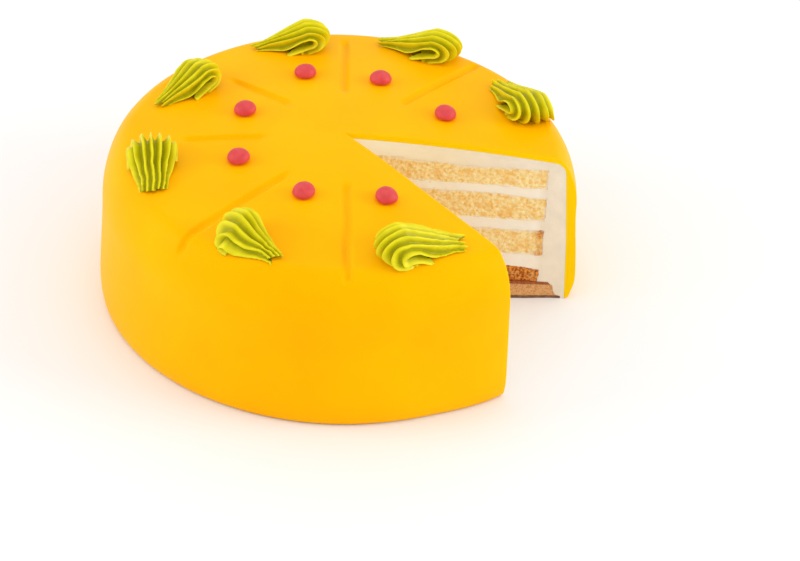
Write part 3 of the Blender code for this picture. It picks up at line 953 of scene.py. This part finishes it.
def make_sponges(levels, material):
    """Four sponge layers with porous cut faces, a little larger than their room in the cream."""
    azimuths = np.linspace(FIRST_CUT, LAST_CUT, FILLING_RINGS)
    radius = SPONGE_RADIUS + INTO_CREAM

    def wobble(flat, azimuth):
        return np.column_stack([np.zeros(len(flat)), layer_rise(flat, levels)])

    for number, name in enumerate(SPONGES):
        floor, top = levels[name]
        low = floor if name == "sponge_4" else floor - INTO_CREAM
        high = top + INTO_CREAM
        loop = polyline([(0.0, low), (radius, low), (radius, high), (0.0, high)], FILLING_STEP)
        relief = pore_relief(radius, top - floor, floor, 100 + number)
        rules = {
            "browning": browning_rule(name, floor, top),
            "smeared": smear_rule(name, floor, top, 91 + number),
        }
        piece = turned_piece(name + "_crumb", loop, azimuths, SPONGE_CUT_STEP, material,
                             relief, wobble, rules)
        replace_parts(piece, name)


def make_base(levels, biscuit, jam, chocolate):
    """Biscuit base, the jam on it and its chocolate underside."""
    azimuths = np.linspace(FIRST_CUT, LAST_CUT, BASE_RINGS)
    floor, top = levels["biscuit_base"]
    film_top = levels["jam_layer"][1] + GAP
    coat_floor, coat_top = levels["chocolate_coat"]

    def jut(flat, side):
        radius, height = flat.T
        along = rise(COAT_RADIUS, radius, 0.030) * rise(radius, 0.020, 0.040)
        return BASE_JUT * (1 - side) * along * (1.0 - 0.45 * height / top)

    def crumbly(flat, side):
        return jut(flat, side) - 0.00012 + 0.00016 * layered_noise(cut_spots(flat, side, 2.0), 0.0016, 61, 3)

    def smooth(flat, side):
        return jut(flat, side) - 0.00010 + 0.00010 * layered_noise(cut_spots(flat, side, 4.0), 0.003, 71, 2)

    def base_piece(name, loop, material, relief):
        return turned_piece(name, polyline(loop, BASE_STEP), azimuths, BASE_CUT_STEP, material, relief)

    loop = [(0.0, floor)] + biscuit_side(floor, top)[::-1] + [(0.0, top)]
    piece = base_piece("biscuit_crumb", loop, biscuit, crumbly)
    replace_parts(piece, "biscuit_base")
    loop = [(0.0, top), (JAM_RADIUS, top), (JAM_RADIUS - JAM_END, film_top), (0.0, film_top)]
    piece = base_piece("jam_film", loop, jam, smooth)
    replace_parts(piece, "jam_layer")
    loop = [(0.0, coat_floor), (COAT_RADIUS - GAP, coat_floor), (COAT_RADIUS, coat_floor + GAP)]
    loop += [(COAT_RADIUS, coat_top), (BISCUIT_FOOT_RADIUS, floor), (0.0, floor)]
    piece = base_piece("chocolate_underside", loop, chocolate, smooth)
    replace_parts(piece, "chocolate_coat")


def rib_outline():
    """Angles from the crown over half the rope's section and the ribs' phase, whole at each crest."""
    fine = np.linspace(0.0, 0.5 * pi, 2001)
    speed = np.hypot(ROPE_HALF_WIDTH * np.cos(fine), ROPE_DEPTH * np.sin(fine))
    way = np.concatenate([[0.0], np.cumsum(0.5 * (speed[1:] + speed[:-1]))])
    shares = np.linspace(0.0, 1.0, SIDE_RIBS * RIB_COLUMNS + 1)
    return np.interp(shares * way[-1], way, fine), shares * SIDE_PHASE


def rope_rows():
    """Rows along the rope: its outward angle, its spread and its stage.

    Stage runs from -1 at the laid start over 0 in the curl to 1 at the tail's end.
    """
    leg_from = radians(270.0) - LEG_SLOPE
    tail_from = atan2(TAIL_END[1] - PIVOT[1], TAIL_END[0] - PIVOT[0]) + 0.5 * pi
    rows = [(leg_from, 1.0, (i / LEG_ROWS) ** 1.6 - 1.0) for i in range(LEG_ROWS)]
    for i in range(CURL_ROWS):
        angle = leg_from + (tail_from - leg_from) * i / CURL_ROWS
        rows.append((angle, float(rise(angle, SPREAD_FROM, SPREAD_OVER)), 0.0))
    return rows + [(tail_from, 0.0, i / TAIL_ROWS) for i in range(TAIL_ROWS + 1)]


def rope_columns(rng, leg_share):
    """What a shell's rows share: outer columns over the ribs, and inner ones back underneath."""
    half, phase = rib_outline()
    turns = np.concatenate([-half[::-1], half[1:]])
    phases = np.concatenate([-phase[::-1], phase[1:]])
    sideways = np.abs(np.sin(turns))
    scallop = np.sin(pi * phases) ** 2
    valley = (1.0 + CREST_SHARPNESS) * scallop / (scallop + CREST_SHARPNESS)
    crest = np.round(phases).astype(int) + SIDE_RIBS
    crests = 2 * SIDE_RIBS + 1
    frayed = rng.uniform(*FRAY, crests)[crest] + CREST_LONGER * (1.0 - valley)
    frayed -= SIDE_SHORTER * sideways ** 3
    depths = rng.uniform(*RIB_VARIATION, crests + 1)
    between = np.clip(np.floor(phases).astype(int) + SIDE_RIBS, 0, crests - 1)
    inner = np.linspace(1.0, -1.0, INNER_COLUMNS + 2)[1:-1]
    outwards = np.abs(inner)
    inner_rib = np.abs(np.sin(2.5 * pi * (1.0 - outwards))) ** 1.3 * (outwards > 0.6)
    ends = np.interp(np.abs(phases), range(len(LEG_ENDS)), LEG_ENDS)
    ends *= rng.uniform(*LEG_VARIATION, crests)[crest]
    ends -= LEG_SCALLOP * scallop
    inner_ends = ends[-1] - 0.45 * (1.0 - outwards) - LEG_SCALLOP * inner_rib
    steeper = np.interp(np.abs(phases), range(len(LEG_STEEPER)), LEG_STEEPER)
    return SimpleNamespace(
        turns=turns,
        valley=valley,
        valley_depth=valley * depths[between],
        inner=inner,
        inner_rib=inner_rib,
        mouth=0.1 + 0.9 * rise(outwards, 0.55, 0.35),
        frayed=np.concatenate([frayed, np.full(len(inner), -UNDERSIDE_SHORTER)]),
        skirt=np.concatenate([rise(sideways, SKIRT_FROM, 1.0 - SKIRT_FROM), np.ones(len(inner))]),
        leg_ends=LEG_LENGTH * leg_share * np.maximum(np.concatenate([ends, inner_ends]), SHORTEST_LEG),
        steeper=np.concatenate([steeper, np.zeros(len(inner))]),
    )


def rope_row(columns, angle, spread, stage, tail_share, rib_share):
    """Points of one row of a shell, round the rope and back underneath."""
    turns, inner = columns.turns, columns.inner
    outer = len(turns)
    if stage < 0.0:
        run = np.minimum(-stage * columns.leg_ends, columns.leg_ends)
        drop = run * (sin(LEG_SLOPE) + columns.steeper)
        origin = (PIVOT[0] + run * cos(LEG_SLOPE), PIVOT[1] - drop)
        depth = ROPE_DEPTH + (LEG_DEPTH - ROPE_DEPTH) * run[:outer] / LEG_LENGTH
        half_width = ROPE_HALF_WIDTH + (LEG_HALF_WIDTH - ROPE_HALF_WIDTH) * rise(run[0] / LEG_LENGTH)
        rib = RIB_DEPTH
    else:
        origin = tuple(PIVOT[i] + (TAIL_END[i] - PIVOT[i]) * stage for i in range(2))
        depth = ROPE_DEPTH + (TAIL_DEPTH - ROPE_DEPTH) * stage ** 0.9
        half_width = ROPE_HALF_WIDTH + (TAIL_HALF_WIDTH * tail_share - ROPE_HALF_WIDTH) * rise(stage)
        rib_end = TAIL_RIB_DEPTH * min(1.0, 0.3 + 0.7 * tail_share)
        rib = RIB_DEPTH + (rib_end - RIB_DEPTH) * rise(stage, 0.2, 0.8)
    normal_up = np.cos(turns) / depth * (1.0 - 0.8 * spread)
    normal_side = np.sin(turns) / half_width
    size = np.hypot(normal_up, normal_side) + 1e-9
    level = np.abs(np.sin(turns))
    side = np.sign(turns) * level ** (1.0 - 0.75 * spread * level)
    side *= 1.0 + FOOT_FLARE * spread * np.abs(np.cos(turns)) * level
    inset = rib * rib_share * columns.valley_depth
    hollow = INNER_RADIUS * (1.0 - max(0.0, stage))
    up = hollow + np.maximum((depth - hollow) * np.cos(turns) - inset * normal_up / size, 0.0)
    across = half_width * side - inset * normal_side / size
    open_share = min(1.0, abs(stage) * 2.5)
    inner_shape = INNER_BULGE * np.sqrt(1.0 - inner**2) - INNER_RIB * columns.inner_rib
    under = hollow * columns.mouth - open_share * inner_shape
    if stage < 0.0:
        to_end = np.clip((1.0 + stage) * columns.leg_ends / LEG_END_ROUNDING, 0.0, 1.0)
        thin = np.sqrt(1.0 - (1.0 - to_end) ** 2)
        below = np.interp(across / across[-1], inner[::-1], under[::-1])
        above = np.interp(inner * across[-1], across, up)
        up = 0.5 * (up + below) + 0.5 * (up - below) * thin[:outer]
        under = 0.5 * (above + under) + 0.5 * (under - above) * thin[outer:]
    up = np.concatenate([up, under])
    x = origin[0] + cos(angle) * up
    z = origin[1] + sin(angle) * up
    if stage > 0.0:
        z = z - columns.skirt * origin[1] * rise(stage, *SKIRT_STAGES)
        x = x + columns.frayed * rise(stage, 0.70, 0.30)
    x = np.where(x < PIVOT[0], PIVOT[0] + (x - PIVOT[0]) * HEEL_STRETCH, x)
    return np.column_stack([x, np.concatenate([across, inner * across[-1]]), z])


def make_shell(number, place, form, material):
    """One piped shell: ribs that rise from the tail, arch over the heel and hook back."""
    length_share, width_share, tail_share, droop, leg_share, rib_share = form
    columns = rope_columns(np.random.default_rng(40 + number), leg_share)
    rows = [rope_row(columns, *row, tail_share, rib_share) for row in rope_rows()]
    count = len(rows[0])
    points = np.concatenate(rows)
    near = rise(-points[:, 1] / ROPE_HALF_WIDTH)
    near *= 1.0 - rise(points[:, 0], DROOP_FROM, DROOP_OVER)
    points[:, 2] -= droop * near * np.minimum(points[:, 2] / PIVOT[1], 1.0)
    points[:, 2] = np.maximum(points[:, 2], -0.0005)
    points[:, 0] *= length_share
    points[:, 1] *= width_share
    soft = layered_noise(points + 0.1 * number, 0.009, 20 + number, 2)
    fine = layered_noise(points * (0.5, 1.0, 1.0) + 0.1 * number, 0.0016, 30 + number, 2)
    torn = layered_noise(points + 0.1 * number, 0.0011, 35 + number, 2)
    torn *= 0.00022 * rise(points[:, 0], 0.001, 0.012)
    points[:, 1] += 0.0006 * soft + torn
    points[:, 2] += 0.0004 * soft + 0.00005 * fine + torn
    ends = np.array([points[:count].mean(axis=0), points[-count:].mean(axis=0)])
    ends[1, 0] -= TAIL_HOLLOW
    faces = net_faces(len(rows), count)
    first_end = len(points)
    for column in range(count):
        after = (column + 1) % count
        faces.append((column, after, first_end))
        faces.append((first_end - count + after, first_end - count + column, first_end + 1))
    stood = on_top(np.concatenate([points, ends]), *place)
    # How deep in a valley each point lies, for the painted shade there
    row_valley_shades = np.concatenate([columns.valley, np.ones(len(columns.inner))])
    painted_valley_shades = np.concatenate([np.tile(row_valley_shades, len(rows)), (1.0, 1.0)])
    piece = mesh_object(f"shell_{number}", stood, faces, material, {"painted_valley_shade": painted_valley_shades})
    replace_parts(piece, f"piped_shell_{number}")


def on_top(points, azimuth, distance, heading=0.0):
    """Stands a topping's points on the dome, +X along the rim, turned by heading."""
    angle = radians(azimuth)
    turn = angle + 0.5 * pi + radians(heading)
    x = distance * cos(angle) + points[:, 0] * cos(turn) - points[:, 1] * sin(turn)
    y = distance * sin(angle) + points[:, 0] * sin(turn) + points[:, 1] * cos(turn)
    return settled(np.column_stack([x, y, surface_height(x, y) + points[:, 2]]))


def make_drop(number, azimuth, distance, material):
    """One sugar drop: a flattened ball, not quite round."""
    turns = np.arange(DROP_COLUMNS) * 2.0 * pi / DROP_COLUMNS
    rows = []
    for row in range(DROP_ROWS + 1):
        tilt = pi * row / DROP_ROWS
        radius = np.sin(tilt) * DROP_RADIUS
        height = DROP_LIFT + (DROP_TOP if row < DROP_ROWS / 2 else DROP_BOTTOM) * cos(tilt)
        level = np.full(len(turns), height)
        rows.append(np.column_stack([radius * np.cos(turns), radius * np.sin(turns), level]))
    points = np.concatenate(rows)
    points[:, :2] *= 1.0 + 0.03 * lattice_noise(points + number, 0.007, 50 + number)[:, None]
    points[:, 2] += 0.00018 * lattice_noise(points + number, 0.006, 60 + number)
    faces = net_faces(len(rows), DROP_COLUMNS)
    piece = mesh_object(f"drop_{number}", on_top(points, azimuth, distance), faces, material, {})
    merge_axis(piece)
    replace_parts(piece, f"sugar_drop_{number}")


def add_area(name, place, size, power):
    """Square soft light that points from place to the torte."""
    lamp = bpy.data.lights.new(name, "AREA")
    lamp.shape = "SQUARE"
    lamp.size = size
    lamp.energy = power
    piece = bpy.data.objects.new(name, lamp)
    piece.location = place
    piece.rotation_euler = (Vector(LIGHT_AIM) - Vector(place)).to_track_quat("-Z", "Y").to_euler()
    bpy.context.scene.collection.objects.link(piece)


def make_studio():
    """Pale floor, soft white surroundings and three large lights."""
    mesh = bpy.data.meshes.new("floor")
    corners = [(x * FLOOR_REACH, y * FLOOR_REACH, 0.0) for x, y in ((-1, -1), (1, -1), (1, 1), (-1, 1))]
    mesh.from_pydata(corners, [], [(0, 1, 2, 3)])
    white = Finish("floor_white", 0.6, 0.2)
    white.colour = grey(0.90)
    mesh.materials.append(white.done())
    floor = bpy.data.objects.new("floor", mesh)
    bpy.context.scene.collection.objects.link(floor)
    world = bpy.data.worlds.new("studio")
    world.use_nodes = True
    background = world.node_tree.nodes["Background"]
    background.inputs["Color"].default_value = grey(1.0)
    background.inputs["Strength"].default_value = SURROUNDINGS
    bpy.context.scene.world = world
    for light in LIGHTS:
        add_area(*light)
    bpy.context.scene.view_settings.view_transform = "Standard"


def make_camera():
    """Camera at the photo's place, pitched down and rolled a little."""
    turn = Matrix.Rotation(0.5 * pi - CAMERA_PITCH, 4, "X") @ Matrix.Rotation(CAMERA_ROLL, 4, "Z")
    back = Vector((0.0, -cos(CAMERA_PITCH), sin(CAMERA_PITCH))) * CAMERA_DISTANCE
    data = bpy.data.cameras.new("camera")
    data.lens = CAMERA_LENS
    data.sensor_width = CAMERA_SENSOR
    camera = bpy.data.objects.new("camera", data)
    camera.matrix_world = Matrix.Translation(Vector(CAMERA_AIM) + back) @ turn
    bpy.context.scene.collection.objects.link(camera)
    bpy.context.scene.camera = camera


def main():
    """Loads the solids, builds every piece over them and sets up the studio."""
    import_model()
    make_camera()
    make_studio()
    levels = layer_levels()
    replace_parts(make_cover(cover_material()), "yellow_cover")
    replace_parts(make_cream(levels, cream_material()), "cream_filling")
    make_sponges(levels, sponge_material())
    jam = film_material("jam_brown", linear(134, 62, 22), linear(166, 92, 40), 0.35, 700.0, 0.3)
    chocolate = film_material("chocolate_dark", linear(108, 70, 48), linear(134, 94, 64), 0.45, 500.0, 0.2)
    make_base(levels, biscuit_material(), jam, chocolate)
    green = shell_material()
    for number, shell in enumerate(SHELLS, start=1):
        make_shell(number, shell[:3], shell[3:], green)
    pink = drop_material()
    for number, place in enumerate(DROPS, start=1):
        make_drop(number, *place, pink)


main()
